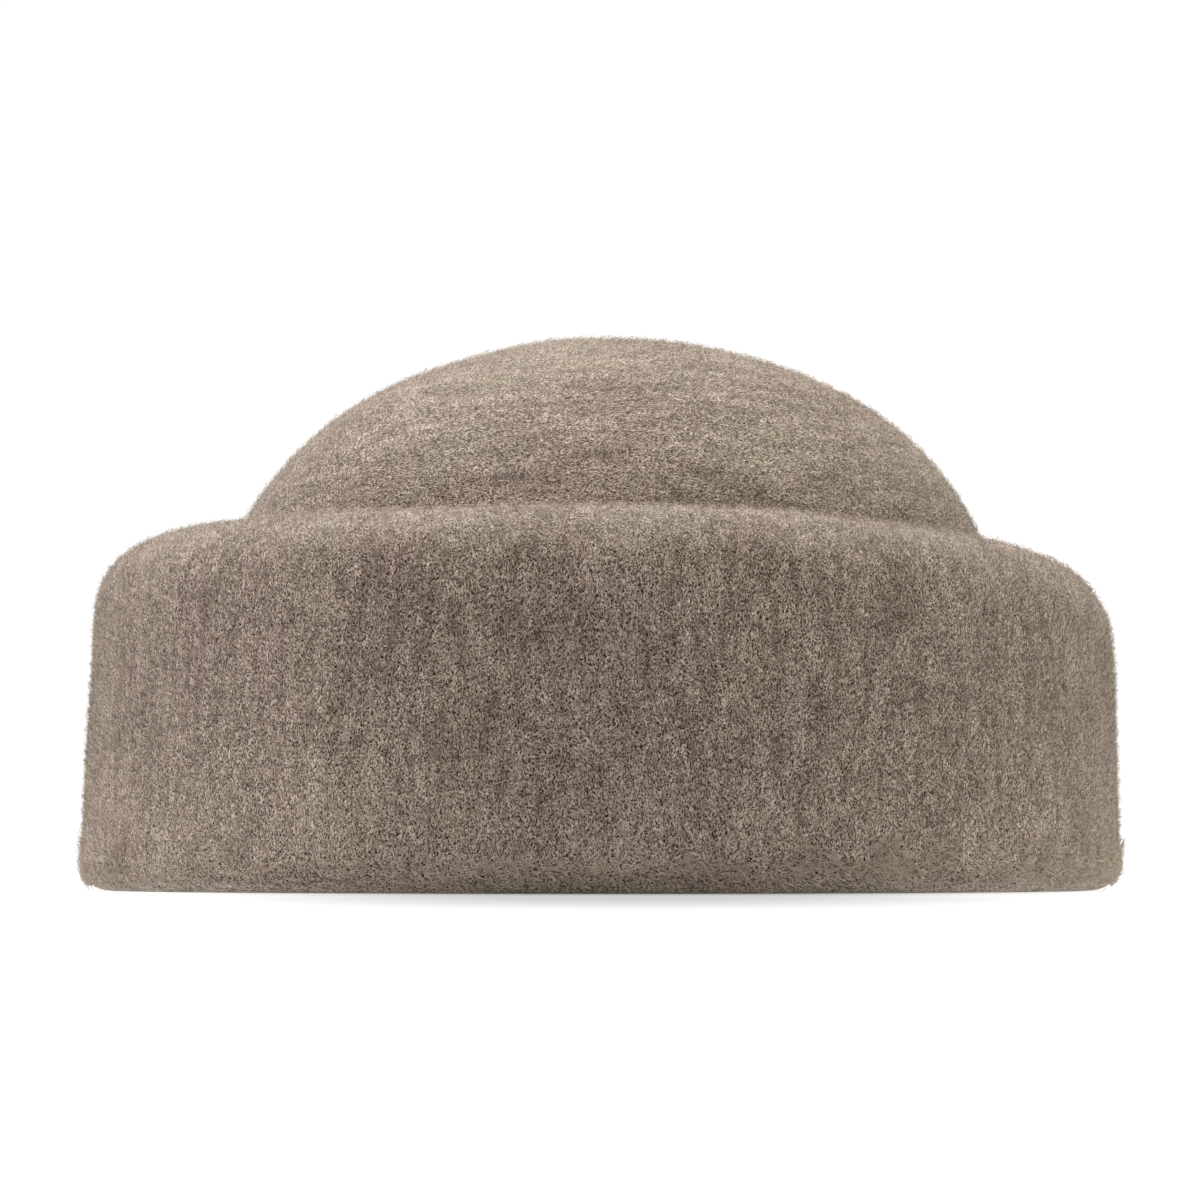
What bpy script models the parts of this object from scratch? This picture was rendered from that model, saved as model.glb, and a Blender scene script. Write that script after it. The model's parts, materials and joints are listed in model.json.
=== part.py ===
"""A docker hat in one piece of thick brushed felt: a low domed crown, and a tall cuff turned up all round it.

The hat stands by itself on the fold where the crown turns into the cuff. X runs across the hat and Y from front
to back, with the front at -Y. The origin is on the ground under the middle of the cuff. Lengths are in metres.
"""

import math
from collections import namedtuple

import bmesh
import bpy

# Felt and head opening
FELT = 0.003             # thickness of the wall, without its nap
HEAD_WIDTH = 0.165       # opening inside the fold, ear to ear
HEAD_LENGTH = 0.197      # opening inside the fold, front to back
OVAL_POWER = 2.12        # shape of the opening: 2 is an ellipse, and more is squarer

# Crown
TOTAL_HEIGHT = 0.1018
CROWN_LEAN = 0.0244      # how far in the crown's sides lean over the whole height
CROWN_WALL = 0.042       # height at which the dome begins
DOME_POWER = 3.5         # fullness of the dome's sides: 2 is an ellipse, and more is fuller
TOP_POWER = 1.88         # flatness of the dome's top: 2 is an ellipse, and more is flatter
CROWN_SHIFT = 0.0019     # how far the top of the dome sits towards +X

# Bottom fold
GROOVE = 0.007           # clear width between crown and cuff just above the fold
FOLD_BEND = 0.0015       # rounding of the two bends of the fold, on their inner side

# Cuff
CUFF_HEIGHT = 0.0655     # from the ground to the top of its rounded shoulder
CUFF_LEAN = 0.0022       # how far it leans in between the fold and the shoulder
SHOULDER_RISE = 0.0145   # height of the rounded shoulder
LIP_GAP = 0.002          # clear gap between the lip's edge and the crown
LIP_DROP = 0.0035        # how far the lip's edge lies below the top of the cuff

# Each side of the cuff: shares of the height, lean and rise above, and the shoulder's share of the way to the lip
Side = namedtuple("Side", "name heading height lean rise shoulder")
SIDES = (
    Side("front", -90, 1.00, 0.90, 0.85, 0.66),
    Side("right", 0, 0.915, 0.45, 1.10, 0.82),
    Side("back", 90, 0.99, 0.90, 0.90, 0.70),
    Side("left", 180, 0.985, 1.15, 0.97, 0.74),
)

# Fineness of the surface
SEGMENTS = 64
DOME_RINGS = 12
CROWN_WALL_RINGS = 2
FOLD_RINGS = 3
FLAT_RINGS = 2
CUFF_RINGS = 5
SHOULDER_RINGS = 6
LIP_RINGS = 3

FELT_COLOUR = (0.235, 0.175, 0.135, 1.0)
FELT_ROUGHNESS = 0.95
SMOOTH_ANGLE = math.radians(50)

# The middle of the wall, from which the felt is thickened both ways
HALF_FELT = FELT / 2
CROWN_HALF_WIDTH = HEAD_WIDTH / 2 + HALF_FELT
CROWN_HALF_LENGTH = HEAD_LENGTH / 2 + HALF_FELT
CROWN_TOP = TOTAL_HEIGHT - HALF_FELT
BEND_RADIUS = FOLD_BEND + HALF_FELT
FOLD_TOP = BEND_RADIUS + HALF_FELT
FOLD_REACH = GROOVE + FELT
QUARTER = math.pi / 2

# A point of the felt's line at one heading: the crown's outline is scaled, then moved out by a reach
Station = namedtuple("Station", "scale reach height")


def side_share(azimuth, column):
    """One column of SIDES, blended smoothly from side to side."""
    total = 0.0
    for side in SIDES:
        weight = max(0.0, math.cos(azimuth - math.radians(side.heading))) ** 2
        total += weight * getattr(side, column)
    return total


def crown_climb(height):
    """The share of the way from the fold to the crown's top at a height."""
    return (height - FOLD_TOP) / (CROWN_TOP - FOLD_TOP)


def wall_scale(height):
    """The share of the crown's full width that its leaning sides leave at a height."""
    return 1 - CROWN_LEAN / CROWN_HALF_WIDTH * crown_climb(height)


def crown_scale(height):
    """The share of the crown's full width that is left at a height, with the dome's rounding."""
    rise = max(0.0, height - CROWN_WALL) / (CROWN_TOP - CROWN_WALL)
    return wall_scale(height) * max(0.0, 1 - rise ** DOME_POWER) ** (1 / TOP_POWER)


def crown_drift(height):
    """The crown's sideways shift at a height, none at the fold and all of it at the top."""
    return CROWN_SHIFT * math.sin(QUARTER * crown_climb(height))


def dome_line():
    """From the first ring under the crown's top down to where the dome begins."""
    line = []
    for ring in range(1, DOME_RINGS + 1):
        turn = QUARTER * (1 - ring / DOME_RINGS)
        height = CROWN_WALL + (CROWN_TOP - CROWN_WALL) * math.sin(turn) ** (2 / DOME_POWER)
        line.append(Station(crown_scale(height), 0.0, height))
    return line


def crown_wall_line():
    """Down the crown's leaning sides to the fold."""
    line = []
    for ring in range(1, CROWN_WALL_RINGS + 1):
        height = CROWN_WALL + (FOLD_TOP - CROWN_WALL) * ring / CROWN_WALL_RINGS
        line.append(Station(wall_scale(height), 0.0, height))
    return line


def fold_line():
    """Round the bottom fold: down and out, flat where it rests, then up and out."""
    line = []
    for ring in range(1, FOLD_RINGS + 1):
        turn = QUARTER * ring / FOLD_RINGS
        reach = BEND_RADIUS * (1 - math.cos(turn))
        line.append(Station(1.0, reach, FOLD_TOP - BEND_RADIUS * math.sin(turn)))
    flat = FOLD_REACH - 2 * BEND_RADIUS
    for ring in range(1, FLAT_RINGS + 1):
        line.append(Station(1.0, BEND_RADIUS + flat * ring / FLAT_RINGS, HALF_FELT))
    for ring in range(1, FOLD_RINGS + 1):
        turn = QUARTER * ring / FOLD_RINGS
        reach = FOLD_REACH - BEND_RADIUS * (1 - math.sin(turn))
        line.append(Station(1.0, reach, FOLD_TOP - BEND_RADIUS * math.cos(turn)))
    return line


def cuff_line(azimuth):
    """Up the cuff's wall, over its shoulder and in along its lip, which stops short of the crown."""
    line = []
    top = CUFF_HEIGHT * side_share(azimuth, "height") - HALF_FELT
    rise = SHOULDER_RISE * side_share(azimuth, "rise") - HALF_FELT
    lean = CUFF_LEAN * side_share(azimuth, "lean")
    for ring in range(1, CUFF_RINGS + 1):
        share = ring / CUFF_RINGS
        height = FOLD_TOP + (top - rise - FOLD_TOP) * share
        line.append(Station(1.0, FOLD_REACH - lean * share, height))
    shoulder_reach = FOLD_REACH - lean
    whole_run = shoulder_reach - lip_reach(azimuth, top - LIP_DROP)
    run = whole_run * side_share(azimuth, "shoulder")
    for ring in range(1, SHOULDER_RINGS + 1):
        turn = QUARTER * ring / SHOULDER_RINGS
        reach = shoulder_reach - run * (1 - math.cos(turn))
        line.append(Station(1.0, reach, top - rise * (1 - math.sin(turn))))
    for ring in range(1, LIP_RINGS + 1):
        turn = QUARTER * ring / LIP_RINGS
        reach = shoulder_reach - run - (whole_run - run) * math.sin(turn)
        line.append(Station(1.0, reach, top - LIP_DROP * (1 - math.cos(turn))))
    return line


def lip_reach(azimuth, height):
    """How far out of the crown's full outline the lip's edge lies, so that it clears the crown."""
    radius = math.hypot(CROWN_HALF_WIDTH * math.cos(azimuth), CROWN_HALF_LENGTH * math.sin(azimuth))
    crown_reach = crown_drift(height) * math.cos(azimuth) - radius * (1 - crown_scale(height))
    return crown_reach + FELT + LIP_GAP


def oval(turn):
    """Cosine and sine of the opening's oval at a turn."""
    return [math.copysign(abs(part) ** (2 / OVAL_POWER), part) for part in (math.cos(turn), math.sin(turn))]


def felt_point(azimuth, station, shift):
    """Where a station of the felt's line lies in space."""
    across, along = oval(azimuth)
    half_width = CROWN_HALF_WIDTH * station.scale + station.reach
    half_length = CROWN_HALF_LENGTH * station.scale + station.reach
    return (half_width * across + shift, half_length * along, station.height)


def felt_column(azimuth):
    """The points of the felt at one heading, from under the crown's top to the lip's edge."""
    crown = dome_line() + crown_wall_line()
    points = [felt_point(azimuth, station, crown_drift(station.height)) for station in crown]
    points += [felt_point(azimuth, station, 0.0) for station in fold_line() + cuff_line(azimuth)]
    return points


def felt_sheet():
    """The middle of the wall as an open surface, a loft round the hat's axis."""
    sheet = bmesh.new()
    top = sheet.verts.new((crown_drift(CROWN_TOP), 0.0, CROWN_TOP))
    columns = []
    for segment in range(SEGMENTS):
        points = felt_column(2 * math.pi * segment / SEGMENTS)
        columns.append([sheet.verts.new(point) for point in points])
    for here, ahead in zip(columns, columns[1:] + columns[:1]):
        sheet.faces.new((top, here[0], ahead[0]))
        for ring in range(len(here) - 1):
            sheet.faces.new((here[ring], here[ring + 1], ahead[ring + 1], ahead[ring]))
    mesh = bpy.data.meshes.new("felt_body")
    sheet.to_mesh(mesh)
    sheet.free()
    return mesh


def felt_material():
    material = bpy.data.materials.new("felt")
    material.use_nodes = True
    shader = material.node_tree.nodes["Principled BSDF"]
    shader.inputs["Base Color"].default_value = FELT_COLOUR
    shader.inputs["Roughness"].default_value = FELT_ROUGHNESS
    shader.inputs["Metallic"].default_value = 0.0
    return material


def build_felt_body(collection):
    """The whole hat: the sheet above, thickened to the felt's wall."""
    mesh = felt_sheet()
    mesh.shade_smooth()
    mesh.set_sharp_from_angle(angle=SMOOTH_ANGLE)
    mesh.materials.append(felt_material())
    body = bpy.data.objects.new("felt_body", mesh)
    collection.objects.link(body)
    wall = body.modifiers.new("wall", "SOLIDIFY")
    wall.thickness = FELT
    wall.offset = 0.0
    wall.use_even_offset = True
    wall.use_quality_normals = True
    return body


def main():
    for old in list(bpy.data.objects):
        bpy.data.objects.remove(old)
    collection = bpy.data.collections.new("felt_docker_hat")
    bpy.context.scene.collection.children.link(collection)
    build_felt_body(collection)


main()
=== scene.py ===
"""The brushed felt beanie on a pale floor, in soft studio light.

Lengths are in metres and colours are linear. The hat stands on z = 0 with its front at -Y.
"""

import json
import math
import random

import bmesh
import bpy
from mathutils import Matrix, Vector, noise

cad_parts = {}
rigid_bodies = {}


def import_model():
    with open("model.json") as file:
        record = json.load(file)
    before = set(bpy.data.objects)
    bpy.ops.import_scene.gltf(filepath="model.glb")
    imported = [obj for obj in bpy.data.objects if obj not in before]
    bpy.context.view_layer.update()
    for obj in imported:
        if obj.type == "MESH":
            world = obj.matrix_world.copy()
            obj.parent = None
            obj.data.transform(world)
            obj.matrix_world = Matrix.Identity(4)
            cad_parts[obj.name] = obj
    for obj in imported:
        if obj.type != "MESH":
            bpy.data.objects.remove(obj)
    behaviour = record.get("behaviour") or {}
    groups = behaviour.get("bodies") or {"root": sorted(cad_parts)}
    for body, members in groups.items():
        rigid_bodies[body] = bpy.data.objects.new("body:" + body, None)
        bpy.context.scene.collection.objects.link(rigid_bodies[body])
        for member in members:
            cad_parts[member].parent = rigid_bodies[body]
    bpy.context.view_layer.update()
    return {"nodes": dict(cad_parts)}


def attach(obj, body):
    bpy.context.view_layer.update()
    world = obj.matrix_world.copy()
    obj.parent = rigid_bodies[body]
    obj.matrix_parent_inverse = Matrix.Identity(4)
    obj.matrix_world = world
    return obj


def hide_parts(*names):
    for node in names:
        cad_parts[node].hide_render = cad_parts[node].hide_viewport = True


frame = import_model()

# Felt body
# The hat is one piece of thick wool felt, blocked into a domed crown and turned up as a tall cuff. It is dyed
# in the wool, so dark and pale fibres are mixed all through it. This is the cloth under the nap: the CAD wall
# made finer, with the slight unevenness that felting leaves.

MILLIMETRE = 0.001
MERGE_DISTANCE = 0.01 * MILLIMETRE
QUAD_FACE_ANGLE = math.radians(40)
QUAD_SHAPE_ANGLE = math.radians(60)
UNEVEN_DEPTH = 0.35 * MILLIMETRE
UNEVEN_SIZE = 16 * MILLIMETRE
REST_HEIGHT = 3 * MILLIMETRE  # the felt is left even below this, and to twice this it fades in
OUTSIDE_CENTRE = Vector((0.0, 0.0, 0.02))
FOLD_BAND = 7 * MILLIMETRE  # height to which the fibres lie along the bottom fold

PATCH_SIZE = 14 * MILLIMETRE
PATCH_STRETCH = 1.8
PATCH_GAIN = 0.32
STREAK_SIZE = 2.2 * MILLIMETRE
STREAK_STRETCH = 4.0
STREAK_GAIN = 0.7
PAINTED_BOUNCE_HEIGHT = 30 * MILLIMETRE  # the cuff is painted paler from here down to the fold, for light thrown up by the floor
PAINTED_BOUNCE_GAIN = 0.2
HUE_SIZE = 13 * MILLIMETRE
HUE_STRETCH = 2.0
HUE_GAIN = 1.3
BLEND_DETAIL = 2.0
CRIMP_SIZE = 0.45 * MILLIMETRE
CRIMP_FINER = 0.7
CRIMP_STRETCH = 1.7
CRIMP_SHARPNESS = 14.0
CRIMP_AND_PAINTED_SHADE_GAIN = 1.3
CRIMP_DEPTH = 0.2 * MILLIMETRE
CRIMP_STRENGTH = 0.6
MIDDLE = 0.5  # the middle of a noise, and of a tone or a hue
CLOTH_DARKER = 0.1

WOOL_STOPS = (
    (0.0, (0.033, 0.021, 0.013)),
    (0.3, (0.115, 0.081, 0.058)),
    (0.5, (0.230, 0.170, 0.130)),
    (0.75, (0.440, 0.350, 0.285)),
    (1.0, (0.730, 0.620, 0.530)),
)
PINK_TINT = (1.05, 0.97, 1.00, 1.0)
GREEN_TINT = (0.96, 1.02, 0.92, 1.0)
FELT_SPECULAR = 0.15
FELT_SHEEN = 0.12
FELT_SHEEN_ROUGHNESS = 0.5
CLOTH_ROUGHNESS = 0.95


class Link:
    """An output of a node, with arithmetic that adds Math nodes. With no output it only starts a tree."""

    def __init__(self, tree, socket=None):
        self.tree = tree
        self.socket = socket

    def node(self, kind, settings, sockets, output=0):
        """Adds a node, makes its settings, then gives its sockets a value or a link."""
        made = self.tree.nodes.new(kind)
        for name, value in settings.items():
            if name == "stops":
                while len(made.color_ramp.elements) < len(value):
                    made.color_ramp.elements.new(1.0)
                for element, (place, colour) in zip(made.color_ramp.elements, value):
                    element.position = place
                    element.color = (*colour, 1.0)
            else:
                setattr(made, name, value)
        for name, value in sockets.items():
            if isinstance(value, Link):
                self.tree.links.new(value.socket, made.inputs[name])
            else:
                made.inputs[name].default_value = value
        return Link(self.tree, made.outputs[output])

    def beside(self, output):
        """Another output of the same node."""
        return Link(self.tree, self.socket.node.outputs[output])

    def axes(self):
        """The X, Y and Z of a vector."""
        parts = self.node("ShaderNodeSeparateXYZ", {}, {"Vector": self})
        return [parts.beside(axis) for axis in "XYZ"]

    def math(self, operation, *values):
        return self.node("ShaderNodeMath", {"operation": operation}, dict(enumerate(values)))

    def at_least(self, other):
        return self.math("MAXIMUM", self, other)

    def at_most(self, other):
        return self.math("MINIMUM", self, other)

    def __lt__(self, other):
        return self.math("LESS_THAN", self, other)

    def __add__(self, other):
        return self.math("ADD", self, other)

    def __radd__(self, other):
        return self.math("ADD", other, self)

    def __sub__(self, other):
        return self.math("SUBTRACT", self, other)

    def __rsub__(self, other):
        return self.math("SUBTRACT", other, self)

    def __mul__(self, other):
        return self.math("MULTIPLY", self, other)

    def __rmul__(self, other):
        return self.math("MULTIPLY", other, self)

    def __truediv__(self, other):
        return self.math("DIVIDE", self, other)

    def __rtruediv__(self, other):
        return self.math("DIVIDE", other, self)

    def __pow__(self, other):
        return self.math("POWER", self, other)

    def __rpow__(self, other):
        return self.math("POWER", other, self)

    def __abs__(self):
        return self.math("ABSOLUTE", self)


def mixed(first, second, share):
    """Two colours mixed by a share, which is a link."""
    return share.node("ShaderNodeMix", {"data_type": "RGBA"}, {0: share, 6: first, 7: second}, 2)


def tinted(colour, tint):
    """A colour multiplied by a tint."""
    settings = {"data_type": "RGBA", "blend_type": "MULTIPLY"}
    return colour.node("ShaderNodeMix", settings, {0: 1.0, 6: colour, 7: tint}, 2)


def felt_surface(name, roughness, colour, bump=None):
    """A Principled material whose colour and bump are worked out by functions of the tree's start."""
    material = bpy.data.materials.new(name)
    material.use_nodes = True
    tree = material.node_tree
    shader = tree.nodes["Principled BSDF"]
    shader.inputs["Roughness"].default_value = roughness
    shader.inputs["Specular IOR Level"].default_value = FELT_SPECULAR
    shader.inputs["Sheen Weight"].default_value = FELT_SHEEN
    shader.inputs["Sheen Roughness"].default_value = FELT_SHEEN_ROUGHNESS
    tree.links.new(colour(Link(tree)).socket, shader.inputs["Base Color"])
    if bump:
        tree.links.new(bump(Link(tree)).socket, shader.inputs["Normal"])
    return material


def brushed(place, way, stretch):
    """A place drawn together along the brushing, which goes round the crown or up and down the cuff."""
    x, y, z = place.axes()
    if way == "upright":
        drawn = place.node("ShaderNodeCombineXYZ", {}, {"X": x, "Y": y, "Z": z / stretch})
        return drawn, 0.0
    reach = (x * x + y * y) ** 0.5
    drawn = place.node("ShaderNodeCombineXYZ", {}, {"X": x / stretch, "Y": y / stretch, "Z": reach})
    return drawn, z


def mottle(place, way, stretch, size, detail=1.0):
    """Noise whose spots have a size across the brushing and are drawn out along it."""
    drawn, fourth = brushed(place, way, stretch)
    return place.node(
        "ShaderNodeTexNoise",
        {"noise_dimensions": "4D"},
        {"Vector": drawn, "W": fourth, "Scale": 1 / size, "Detail": detail},
    )


def blend_tone(place, way):
    """How pale the wool is at a place: patches, streaks along the brushing, and painted light that makes the
    cuff paler near the fold.
    """
    patches = mottle(place, way, PATCH_STRETCH, PATCH_SIZE, BLEND_DETAIL) - MIDDLE
    streaks = mottle(place, way, STREAK_STRETCH, STREAK_SIZE, BLEND_DETAIL) - MIDDLE
    height = place.axes()[2]
    # Painted light: the wool is made paler towards the fold, in place of the light that the floor throws up.
    painted_bounce = (1.0 - height / PAINTED_BOUNCE_HEIGHT).at_least(0.0)
    return MIDDLE + patches * PATCH_GAIN + streaks * STREAK_GAIN + painted_bounce * PAINTED_BOUNCE_GAIN


def blend_hue(place, way):
    """How greenish rather than pinkish the wool is at a place."""
    return MIDDLE + (mottle(place, way, HUE_STRETCH, HUE_SIZE, BLEND_DETAIL) - MIDDLE) * HUE_GAIN


def wool_colour(tone, hue):
    """The colour of the wool from its tone, from dark to pale, and its hue, from pinkish to greenish."""
    wool = tone.node("ShaderNodeValToRGB", {"stops": WOOL_STOPS}, {"Fac": tone})
    return tinted(wool, mixed(PINK_TINT, GREEN_TINT, hue))


def crimp(place, way):
    """Fine curled fibres seen as thin pale lines with dark gaps between; in the cloth's colour the dark gaps
    are painted shade.
    """
    coarse = abs(mottle(place, way, CRIMP_STRETCH, CRIMP_SIZE) - MIDDLE)
    fine = abs(mottle(place, way, CRIMP_STRETCH, CRIMP_SIZE * CRIMP_FINER) - MIDDLE)
    return 1.0 - coarse.at_most(fine) * CRIMP_SHARPNESS


def cloth_surface(name, way):
    """The felt under the nap, with its fibres lying round the crown or up and down the cuff."""

    def colour(start):
        place = start.node("ShaderNodeTexCoord", {}, {}, "Object")
        # In the cloth's colour the crimp's pale lines are the fibres' grain and its dark gaps are painted
        # shade between them.
        tone = blend_tone(place, way) + (crimp(place, way) - MIDDLE) * CRIMP_AND_PAINTED_SHADE_GAIN - CLOTH_DARKER
        return wool_colour(tone, blend_hue(place, way))

    def bump(start):
        place = start.node("ShaderNodeTexCoord", {}, {}, "Object")
        sockets = {"Height": crimp(place, way), "Strength": CRIMP_STRENGTH, "Distance": CRIMP_DEPTH}
        return start.node("ShaderNodeBump", {}, sockets)

    return felt_surface(name, CLOTH_ROUGHNESS, colour, bump)


def uneven(point):
    """How far a point of the felt stands off its blocked form."""
    fade = min(1.0, max(0.0, point.z / REST_HEIGHT - 1))
    return UNEVEN_DEPTH * fade * noise.noise(point / UNEVEN_SIZE)


def outside_regions(mesh):
    """The faces of the crown's outside and of the cuff's outside, as two sets of face indices."""
    work = bmesh.new()
    work.from_mesh(mesh)
    outside = set()
    for face in work.faces:
        if face.normal.dot(face.calc_center_median() - OUTSIDE_CENTRE) > 0:
            outside.add(face.index)
    work.faces.ensure_lookup_table()
    regions = []
    while outside:
        start = outside.pop()
        region = {start}
        border = [start]
        while border:
            for side in work.faces[border.pop()].edges:
                for beside in side.link_faces:
                    if beside.index in outside:
                        outside.remove(beside.index)
                        region.add(beside.index)
                        border.append(beside.index)
        regions.append(region)
    tops = {max(work.faces[index].calc_center_median().z for index in region): region for region in regions}
    work.free()
    crown = tops.pop(max(tops))
    cuff = max(tops.values(), key=len)
    return crown, cuff


felt_body = bpy.data.objects.new("felt_body_cloth", frame["nodes"]["felt_body"].data.copy())
bpy.context.scene.collection.objects.link(felt_body)
cloth = bmesh.new()
cloth.from_mesh(felt_body.data)
bmesh.ops.remove_doubles(cloth, verts=cloth.verts, dist=MERGE_DISTANCE)
bmesh.ops.join_triangles(
    cloth,
    faces=cloth.faces,
    angle_face_threshold=QUAD_FACE_ANGLE,
    angle_shape_threshold=QUAD_SHAPE_ANGLE,
)
cloth.to_mesh(felt_body.data)
cloth.free()
finer = felt_body.modifiers.new("finer", "SUBSURF")
finer.levels = 1
finer.render_levels = 1
evaluated = felt_body.evaluated_get(bpy.context.evaluated_depsgraph_get())
felt_body_mesh = bpy.data.meshes.new_from_object(evaluated)
felt_body.modifiers.clear()
felt_body.data = felt_body_mesh
lifted = [vertex.co + vertex.normal * uneven(vertex.co) for vertex in felt_body.data.vertices]
for vertex, place in zip(felt_body.data.vertices, lifted):
    vertex.co = place
felt_body.data.shade_smooth()
felt_body.data.materials.clear()
crown_faces, cuff_faces = outside_regions(felt_body.data)
felt_body.data.materials.append(cloth_surface("crown_felt", "round"))
felt_body.data.materials.append(cloth_surface("cuff_felt", "upright"))
for face in felt_body.data.polygons:
    upright = face.index in cuff_faces and face.center.z > FOLD_BAND
    face.material_index = 1 if upright else 0
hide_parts("felt_body")
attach(felt_body, "root")

# Nap
# The felt's outside is brushed into a soft nap of fine curly fibres, one to three millimetres long. They lie
# round the crown, up and down the cuff and along the bottom fold, and some stand off as a thin pale halo.

STRAND_LENGTH = 1.7 * MILLIMETRE
STRAND_WIDTH = 0.13 * MILLIMETRE
STRAND_TAPER = 0.55  # share of the width lost from root to tip
STRAND_STEPS = 3
STRAND_SHAPES = 20
STRAND_ROOT = 0.2 * MILLIMETRE  # how far a strand starts below the cloth
STRAND_LIFT = 0.6 * MILLIMETRE
LIFT_RANGE = (0.35, 1.5)
LIFT_BEND = 0.62 * math.pi  # how far a strand has bent over at its tip
FIRST_TURN = 0.3
CURL_RANGE = (0.3, 1.2)
CURL_CHANGE = (0.3, 1.6)
FIRST_TWIST = 1.1
TWIST_CHANGE = 0.5
PAINTED_GLINT_RANGE = (0.2, 0.7)
TIP_PAINTED_SHADING = 0.4

FLOOR_CLEARANCE = 0.05 * MILLIMETRE
TUFT_SIZE = 8 * MILLIMETRE
SPREAD_RANGE = (0.15, 1.0)
HUE_SCATTER = 0.12
TONE_REACH = 2.0  # most strands are a little darker than the cloth, and a few are much paler
TONE_DROP = 0.62
MAP_START = 0.02
MAP_END = 0.98
MAP_STRAND_HEIGHT = 0.02  # half the height of a strand's strip in its map

NAP_ROUGHNESS = 0.9
FIBRE_GLOW = 0.42
GLOW_COLOUR = (0.34, 0.29, 0.24, 1.0)


def strand_shape(seed):
    """One curly fibre as a tapering ribbon, rooted at the origin, lying along +X with +Z off the felt."""
    chance = random.Random(seed)
    turn = chance.uniform(-FIRST_TURN, FIRST_TURN)
    curl = chance.choice((-1, 1)) * chance.uniform(*CURL_RANGE)
    lift = STRAND_LIFT * chance.uniform(*LIFT_RANGE)
    twist = chance.uniform(-FIRST_TWIST, FIRST_TWIST)
    step = STRAND_LENGTH / STRAND_STEPS
    spine = [Vector((0.0, 0.0, -STRAND_ROOT))]
    sides = []
    for index in range(STRAND_STEPS):
        share = index / STRAND_STEPS
        heading = Vector((math.cos(turn), math.sin(turn), 0.0))
        across = Vector((-heading.y, heading.x, 0.0)) * math.cos(twist) + Vector((0, 0, math.sin(twist)))
        sides.append(across * STRAND_WIDTH / 2 * (1 - STRAND_TAPER * share))
        rise = lift * math.cos(LIFT_BEND * share) * math.pi / 2 / STRAND_STEPS
        if index == 0:
            rise += STRAND_ROOT
        spine.append(spine[-1] + heading * step + Vector((0, 0, rise)))
        turn += curl * chance.uniform(*CURL_CHANGE)
        twist += chance.uniform(-TWIST_CHANGE, TWIST_CHANGE)
    mesh = bmesh.new()
    paleness = mesh.verts.layers.float.new("paleness")
    edge = mesh.verts.layers.float.new("edge")
    rows = []
    for index in range(STRAND_STEPS):
        row = []
        # Painted shading along the strand: darker at the root and paler towards the tip, with paler and
        # darker steps in turn as painted glints on its curls.
        pale = index / STRAND_STEPS - 0.5 + (-1) ** (index + seed) * chance.uniform(*PAINTED_GLINT_RANGE)
        for sign in (-1, 1):
            vertex = mesh.verts.new(spine[index] + sides[index] * sign)
            vertex[paleness] = pale
            vertex[edge] = sign
            row.append(vertex)
        rows.append(row)
    for low, high in zip(rows, rows[1:]):
        mesh.faces.new((low[0], low[1], high[1], high[0]))
    tip = mesh.verts.new(spine[-1])
    tip[paleness] = 0.5 + chance.uniform(-TIP_PAINTED_SHADING, TIP_PAINTED_SHADING)
    tip[edge] = 0.0
    mesh.faces.new((rows[-1][0], rows[-1][1], tip))
    data = bpy.data.meshes.new(f"strand_{seed}")
    mesh.to_mesh(data)
    mesh.free()
    return bpy.data.objects.new(f"strand_{seed}", data)


def patch_of(mesh, faces, wanted):
    """An object of only the faces whose centres are wanted, to grow nap on."""
    work = bmesh.new()
    work.from_mesh(mesh)
    spare = []
    for face in work.faces:
        if face.index not in faces or not wanted(face.calc_center_median()):
            spare.append(face)
    bmesh.ops.delete(work, geom=spare, context="FACES")
    data = bpy.data.meshes.new("nap_patch")
    work.to_mesh(data)
    work.free()
    patch = bpy.data.objects.new("nap_patch", data)
    bpy.context.scene.collection.objects.link(patch)
    return patch


NAP_SIZES = (
    "Density",  # strands to a square metre
    "Heading",  # which way they lie: 0 is round the hat
    "Spread",  # how far their headings stray, in radians
    "Shortest",
    "Longest",
    "Tone",  # how much paler they are than the cloth
    "Tone Spread",
    "Shading",  # how much a strand's tone changes along it, as painted shade, painted light and painted glints
    "Bare",  # none grow where a noise is under this, which leaves gaps between tufts
)


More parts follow.
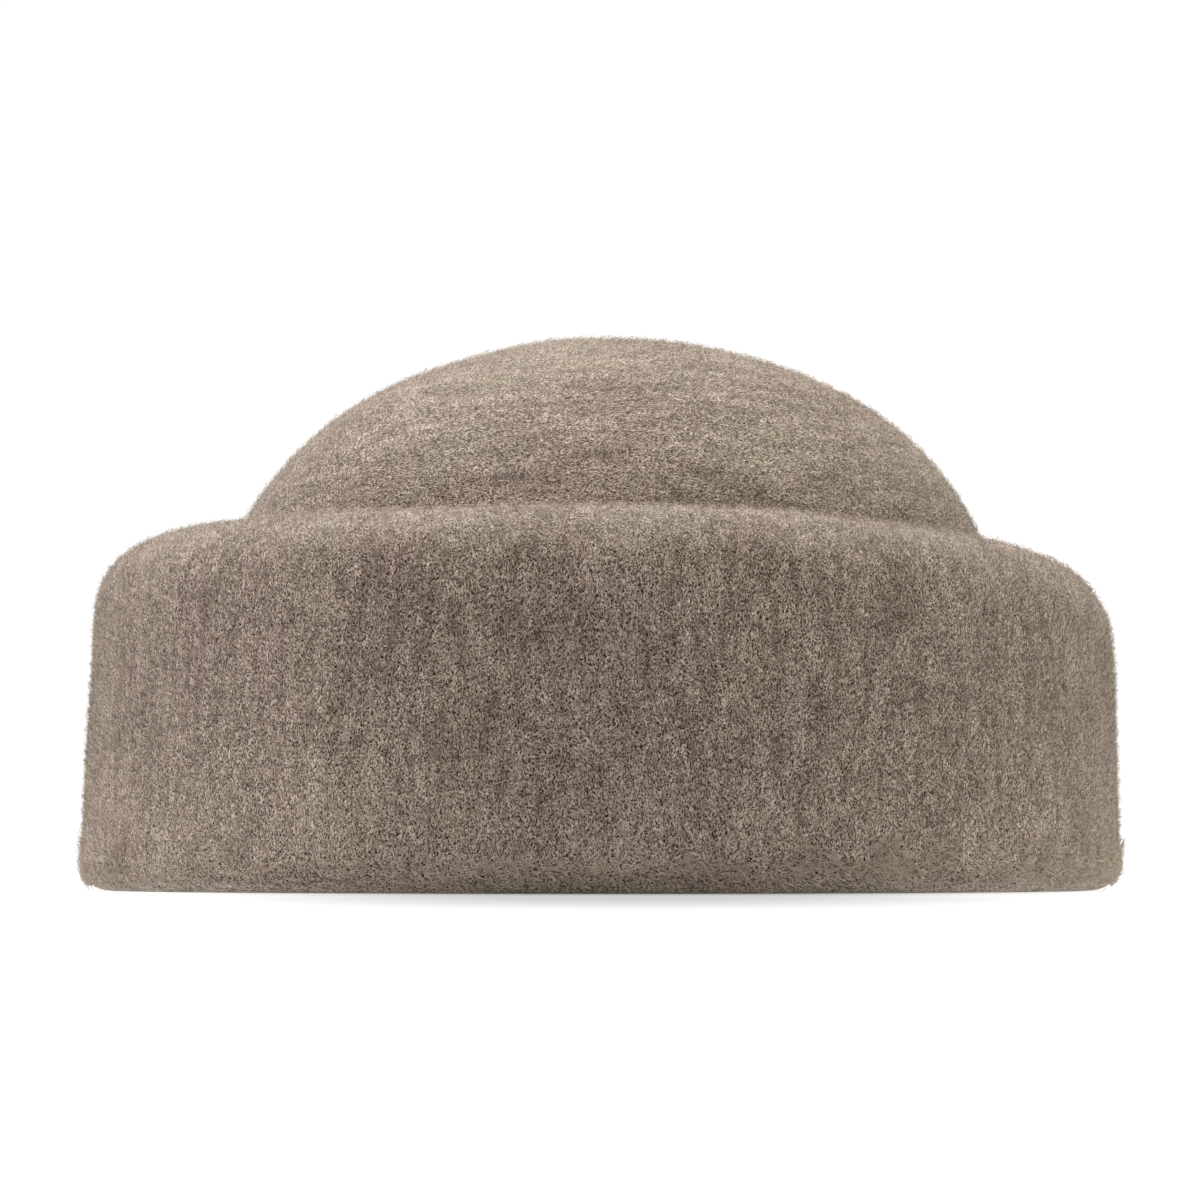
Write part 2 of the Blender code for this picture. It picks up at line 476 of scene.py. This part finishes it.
def nap_tree(way):
    """Scatters strands over a patch, brushed to a heading, with each one's tone and hue as its UV place."""
    tree = bpy.data.node_groups.new(f"nap_{way}", "GeometryNodeTree")
    tree.interface.new_socket("Patch", in_out="INPUT", socket_type="NodeSocketGeometry")
    tree.interface.new_socket("Strands", in_out="INPUT", socket_type="NodeSocketCollection")
    tree.interface.new_socket("Material", in_out="INPUT", socket_type="NodeSocketMaterial")
    for name in NAP_SIZES:
        tree.interface.new_socket(name, in_out="INPUT", socket_type="NodeSocketFloat")
    tree.interface.new_socket("Seed", in_out="INPUT", socket_type="NodeSocketInt")
    tree.interface.new_socket("Nap", in_out="OUTPUT", socket_type="NodeSocketGeometry")
    inputs = tree.nodes.new("NodeGroupInput")
    add = Link(tree).node

    def given(name):
        return Link(tree, inputs.outputs[name])

    def chance(low, high, salt):
        """A number drawn for each strand, by a salt that keeps the draws apart."""
        sockets = {2: low, 3: high, "Seed": given("Seed") + salt}
        return add("FunctionNodeRandomValue", {"data_type": "FLOAT"}, sockets, 1)

    def stored(geometry, name, value, kind="FLOAT", domain="POINT"):
        settings = {"data_type": kind, "domain": domain}
        sockets = {"Geometry": geometry, "Name": name, "Value": value}
        return add("GeometryNodeStoreNamedAttribute", settings, sockets)

    def recalled(name):
        return add("GeometryNodeInputNamedAttribute", {"data_type": "FLOAT"}, {"Name": name})

    points = add(
        "GeometryNodeDistributePointsOnFaces",
        {"distribute_method": "RANDOM"},
        {"Mesh": given("Patch"), "Density": given("Density"), "Seed": given("Seed")},
    )
    normal = points.beside("Normal")
    place = add("GeometryNodeInputPosition", {}, {})
    scatter = chance(0.0, 1.0, 11) ** 2 * TONE_REACH - TONE_DROP
    tone = blend_tone(place, way) + given("Tone") + given("Tone Spread") * scatter
    hue = blend_hue(place, way) + chance(-HUE_SCATTER, HUE_SCATTER, 12)
    bald = mottle(place, "upright", 1.0, TUFT_SIZE) < given("Bare")
    grown = add("GeometryNodeDeleteGeometry", {"domain": "POINT"}, {"Geometry": points, "Selection": bald})
    grown = stored(grown, "tone", tone)
    grown = stored(grown, "hue", hue)

    round_hat = add(
        "ShaderNodeVectorMath", {"operation": "CROSS_PRODUCT"}, {0: (0.0, 0.0, 1.0), 1: normal}
    )
    upright = add("FunctionNodeAxesToRotation", {}, {"Primary Axis": normal, "Secondary Axis": round_hat})
    heading = given("Heading") + given("Spread") * chance(-1.0, 1.0, 13) * chance(*SPREAD_RANGE, 14)
    turned = add("FunctionNodeAxisAngleToRotation", {}, {"Axis": (0.0, 0.0, 1.0), "Angle": heading})
    rotation = add(
        "FunctionNodeRotateRotation",
        {"rotation_space": "LOCAL"},
        {"Rotation": upright, "Rotate By": turned},
    )
    strands = add(
        "GeometryNodeCollectionInfo",
        {},
        {"Collection": given("Strands"), "Separate Children": True, "Reset Children": True},
    )
    shape = add(
        "FunctionNodeRandomValue",
        {"data_type": "INT"},
        {4: 0, 5: STRAND_SHAPES - 1, "Seed": given("Seed") + 15},
        2,
    )
    placed = add(
        "GeometryNodeInstanceOnPoints",
        {},
        {
            "Points": grown,
            "Instance": strands,
            "Pick Instance": True,
            "Instance Index": shape,
            "Rotation": rotation,
            "Scale": chance(given("Shortest"), given("Longest"), 16),
        },
    )
    real = add("GeometryNodeRealizeInstances", {}, {"Geometry": placed})
    x, y, z = place.axes()
    rested = add("ShaderNodeCombineXYZ", {}, {"X": x, "Y": y, "Z": z.at_least(FLOOR_CLEARANCE)})
    real = add("GeometryNodeSetPosition", {}, {"Geometry": real, "Position": rested})

    # The strand's painted shading shifts its tone along it.
    across = recalled("tone") + recalled("paleness") * given("Shading")
    up = recalled("hue") + recalled("edge") * MAP_STRAND_HEIGHT
    across, up = (side.at_least(MAP_START).at_most(MAP_END) for side in (across, up))
    map_place = add("ShaderNodeCombineXYZ", {}, {"X": across, "Y": up})
    mapped = stored(real, "OFBake", map_place, "FLOAT2", "CORNER")
    finished = add("GeometryNodeSetMaterial", {}, {"Geometry": mapped, "Material": given("Material")})
    output = tree.nodes.new("NodeGroupOutput")
    tree.links.new(finished.socket, output.inputs["Nap"])
    return tree


def nap_colour(start):
    """A fibre's colour from its own map: its tone across, from dark to pale, and its hue upwards."""
    tone, hue, _ = start.node("ShaderNodeUVMap", {"uv_map": "OFBake"}, {}).axes()
    return wool_colour(tone, hue)


def let_light_through(material, colour, share):
    """Mixes in a share of light that comes through a fibre from behind."""
    tree = material.node_tree
    front = Link(tree, tree.nodes["Principled BSDF"].outputs["BSDF"])
    behind = front.node("ShaderNodeBsdfTranslucent", {}, {"Color": colour})
    both = front.node("ShaderNodeMixShader", {}, {0: share, 1: front, 2: behind})
    tree.links.new(both.socket, tree.nodes["Material Output"].inputs["Surface"])


strand_collection = bpy.data.collections.new("strand_shapes")
for seed in range(STRAND_SHAPES):
    strand_collection.objects.link(strand_shape(seed))
nap_material = felt_surface("felt_nap", NAP_ROUGHNESS, nap_colour)
let_light_through(nap_material, GLOW_COLOUR, FIBRE_GLOW)
nap_trees = {way: nap_tree(way) for way in ("round", "upright")}


def grow_nap(name, faces, wanted, way, density, seed, sizes):
    """Grows a patch's nap, of so many strands to a square millimetre, and makes it a piece of its own."""
    patch = patch_of(felt_body.data, faces, wanted)
    grower = patch.modifiers.new("nap", "NODES")
    grower.node_group = nap_trees[way]
    values = {
        "Strands": strand_collection,
        "Material": nap_material,
        "Density": density / MILLIMETRE**2,
        "Seed": seed,
        **sizes,
    }
    for item in grower.node_group.interface.items_tree:
        if item.in_out == "INPUT" and item.name in values:
            grower[item.identifier] = values[item.name]
    grown = patch.evaluated_get(bpy.context.evaluated_depsgraph_get())
    piece = bpy.data.objects.new(name, bpy.data.meshes.new_from_object(grown))
    bpy.data.objects.remove(patch)
    bpy.context.scene.collection.objects.link(piece)
    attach(piece, "root")


CROWN_NAP_START = 45 * MILLIMETRE  # down in the groove, where the cuff hides the crown
SHOULDER_HEIGHT = 50 * MILLIMETRE
FOLD_START = 1.5 * MILLIMETRE
TUFT_LOW = 4 * MILLIMETRE
TUFT_HIGH = 7.5 * MILLIMETRE


def crown_front(centre):
    return centre.z > CROWN_NAP_START and centre.y < 0


def crown_back(centre):
    return centre.z > CROWN_NAP_START and centre.y >= 0


def cuff_front(centre):
    return FOLD_BAND < centre.z <= SHOULDER_HEIGHT and centre.y < 0


def cuff_back(centre):
    return FOLD_BAND < centre.z <= SHOULDER_HEIGHT and centre.y >= 0


def shoulder(centre):
    return centre.z > SHOULDER_HEIGHT


def fold_band(centre):
    return FOLD_START < centre.z <= FOLD_BAND


def tuft_band(centre):
    return TUFT_LOW < centre.z <= TUFT_HIGH


ROUND_HAT = 0.0
UPWARDS = math.pi / 2
ANY_NAP = {"Shortest": 0.6, "Longest": 1.25, "Tone Spread": 0.55, "Shading": 0.62, "Bare": 0.0}
CROWN_NAP = {**ANY_NAP, "Heading": ROUND_HAT, "Spread": 0.7, "Tone": 0.13}
CUFF_NAP = {**ANY_NAP, "Heading": UPWARDS, "Spread": 1.6, "Tone": 0.14}
SHOULDER_NAP = {**ANY_NAP, "Heading": UPWARDS, "Spread": 2.4, "Tone": 0.1}
# The bottom fold's nap and tufts are much paler: partly the pale tufts of the hem, partly painted light for
# the light that the floor throws up onto the fold.
FOLD_NAP = {**CROWN_NAP, "Shortest": 0.9, "Longest": 1.6, "Spread": 0.35, "Tone": 0.38}
FOLD_TUFTS = {**CROWN_NAP, "Shortest": 1.0, "Longest": 1.7, "Spread": 0.8, "Tone": 0.44, "Bare": 0.54}

grow_nap("crown_nap_front", crown_faces, crown_front, "round", density=2.2, seed=1, sizes=CROWN_NAP)
grow_nap("crown_nap_back", crown_faces, crown_back, "round", density=1.9, seed=2, sizes=CROWN_NAP)
grow_nap("cuff_nap_front", cuff_faces, cuff_front, "upright", density=2.6, seed=3, sizes=CUFF_NAP)
grow_nap("cuff_nap_back", cuff_faces, cuff_back, "upright", density=2.1, seed=4, sizes=CUFF_NAP)
grow_nap("shoulder_nap", cuff_faces, shoulder, "upright", density=2.2, seed=5, sizes=SHOULDER_NAP)
grow_nap("fold_nap", cuff_faces, fold_band, "round", density=3.5, seed=6, sizes=FOLD_NAP)
grow_nap("fold_tufts", cuff_faces, tuft_band, "round", density=4.5, seed=7, sizes=FOLD_TUFTS)
for shape in list(strand_collection.objects):
    bpy.data.objects.remove(shape)
bpy.data.collections.remove(strand_collection)

# Floor
# A plain flat sheet of white paper that the hat stands on. It isn't part of the hat. It glows a little, as
# paper on a light table does, and less in a shadow that is painted into its glow in front of the hat.

FLOOR_REACH = 6.0
PAPER_COLOUR = (0.2, 0.2, 0.2, 1.0)
PAPER_ROUGHNESS = 0.9
PAPER_GLOW = 0.9
BLACK = (0.0, 0.0, 0.0, 1.0)
WHITE = (1.0, 1.0, 1.0, 1.0)
PAINTED_SHADE_MIDDLE = (0.004, -0.15, 0.0)
PAINTED_SHADE_SHAPE = (3.8, 1.0, 1.0)  # the painted shadow is this much narrower than it is long
PAINTED_SHADE_START = 0.05
PAINTED_SHADE_END = 0.4
PAINTED_SHADE_GLOW = 0.21


def paper_with_painted_shade(name):
    """White paper whose glow is full all round and weakest in the middle of a shadow painted in front of the
    hat.
    """
    material = bpy.data.materials.new(name)
    material.use_nodes = True
    tree = material.node_tree
    shader = tree.nodes["Principled BSDF"]
    shader.inputs["Base Color"].default_value = PAPER_COLOUR
    shader.inputs["Roughness"].default_value = PAPER_ROUGHNESS
    shader.inputs["Specular IOR Level"].default_value = 0.0
    shader.inputs["Emission Strength"].default_value = PAPER_GLOW
    place = Link(tree).node("ShaderNodeTexCoord", {}, {}, "Object")
    # Painted shadow: the paper's glow is turned down in a soft patch in front of the hat.
    offset = place.node("ShaderNodeVectorMath", {"operation": "SUBTRACT"}, {0: place, 1: PAINTED_SHADE_MIDDLE})
    offset = place.node("ShaderNodeVectorMath", {"operation": "MULTIPLY"}, {0: offset, 1: PAINTED_SHADE_SHAPE})
    away = place.node("ShaderNodeVectorMath", {"operation": "LENGTH"}, {0: offset}, 1)
    glow = away.node(
        "ShaderNodeMapRange",
        {"interpolation_type": "SMOOTHSTEP"},
        {"Value": away, 1: PAINTED_SHADE_START, 2: PAINTED_SHADE_END, 3: PAINTED_SHADE_GLOW, 4: 1.0},
    )
    tree.links.new(mixed(BLACK, WHITE, glow).socket, shader.inputs["Emission Color"])
    return material


floor_corners = [(x * FLOOR_REACH, y * FLOOR_REACH, 0.0) for x, y in ((-1, -1), (1, -1), (1, 1), (-1, 1))]
floor_mesh = bpy.data.meshes.new("floor")
floor_mesh.from_pydata(floor_corners, [], [(0, 1, 2, 3)])
floor_mesh.materials.append(paper_with_painted_shade("floor_paper"))
floor = bpy.data.objects.new("floor", floor_mesh)
bpy.context.scene.collection.objects.link(floor)

# Light
# Large soft lights as a product shot has: one high and one low behind for the pale edges, one high on each
# side, and a weak one in front that fills the cuff, in a white surround.

HAT_MIDDLE = (0.0, 0.0, 0.05)
WARM_WHITE = (1.0, 0.96, 0.95)
YELLOW_WHITE = (1.0, 1.0, 0.75)
COOL_WHITE = (0.94, 1.0, 1.08)
PLAIN_WHITE = (1.0, 1.0, 1.0)
SURROUND_SEEN = 1.02
SURROUND_LIGHT = 0.56


def soft_light(name, place, size, watts, colour):
    """A rectangular light turned towards the hat."""
    data = bpy.data.lights.new(name, "AREA")
    data.shape = "RECTANGLE"
    data.size, data.size_y = size
    data.energy = watts
    data.color = colour
    light = bpy.data.objects.new(name, data)
    light.location = place
    light.rotation_euler = (Vector(HAT_MIDDLE) - Vector(place)).to_track_quat("-Z", "Y").to_euler()
    bpy.context.scene.collection.objects.link(light)


soft_light("left_light", place=(-0.7, 0.1, 1.05), size=(0.6, 0.7), watts=14.5, colour=WARM_WHITE)
soft_light("right_light", place=(0.7, 0.1, 1.05), size=(0.6, 0.7), watts=6.8, colour=YELLOW_WHITE)
soft_light("back_light", place=(0.0, 0.7, 1.2), size=(1.0, 0.5), watts=22.0, colour=COOL_WHITE)
soft_light("rim_light", place=(0.0, 1.3, 0.6), size=(1.4, 0.5), watts=11.0, colour=COOL_WHITE)
soft_light("front_light", place=(0.0, -1.3, 0.25), size=(1.4, 0.4), watts=2.8, colour=PLAIN_WHITE)

world = bpy.data.worlds.new("white_surround")
world.use_nodes = True
surround = world.node_tree.nodes["Background"]
surround.inputs["Color"].default_value = WHITE
seen = Link(world.node_tree).node("ShaderNodeLightPath", {}, {}, "Is Camera Ray")
strength = seen * (SURROUND_SEEN - SURROUND_LIGHT) + SURROUND_LIGHT
world.node_tree.links.new(strength.socket, surround.inputs["Strength"])
bpy.context.scene.world = world
bpy.context.scene.view_settings.view_transform = "Standard"

# Camera
# The photograph is taken from the front, from just above the floor, with a long lens tipped slightly up. The
# lens gives the hat the size in the picture that it has in the photograph.

CAMERA_DISTANCE = 1.0
CAMERA_HEIGHT = 0.0059
CAMERA_TILT = math.radians(2.747)
SENSOR_WIDTH = 36.0  # millimetres
METRES_PER_PIXEL = 0.0001858  # at the middle of the hat
PHOTO_PIXELS = 1200
NEAREST_SEEN = 0.01

camera_data = bpy.data.cameras.new("camera")
camera_data.sensor_width = SENSOR_WIDTH
camera_data.lens = SENSOR_WIDTH * CAMERA_DISTANCE / (METRES_PER_PIXEL * PHOTO_PIXELS)
camera_data.clip_start = NEAREST_SEEN
camera = bpy.data.objects.new("camera", camera_data)
camera.location = (0.0, -CAMERA_DISTANCE, CAMERA_HEIGHT)
camera.rotation_euler = (math.pi / 2 + CAMERA_TILT, 0.0, 0.0)
bpy.context.scene.collection.objects.link(camera)
bpy.context.scene.camera = camera
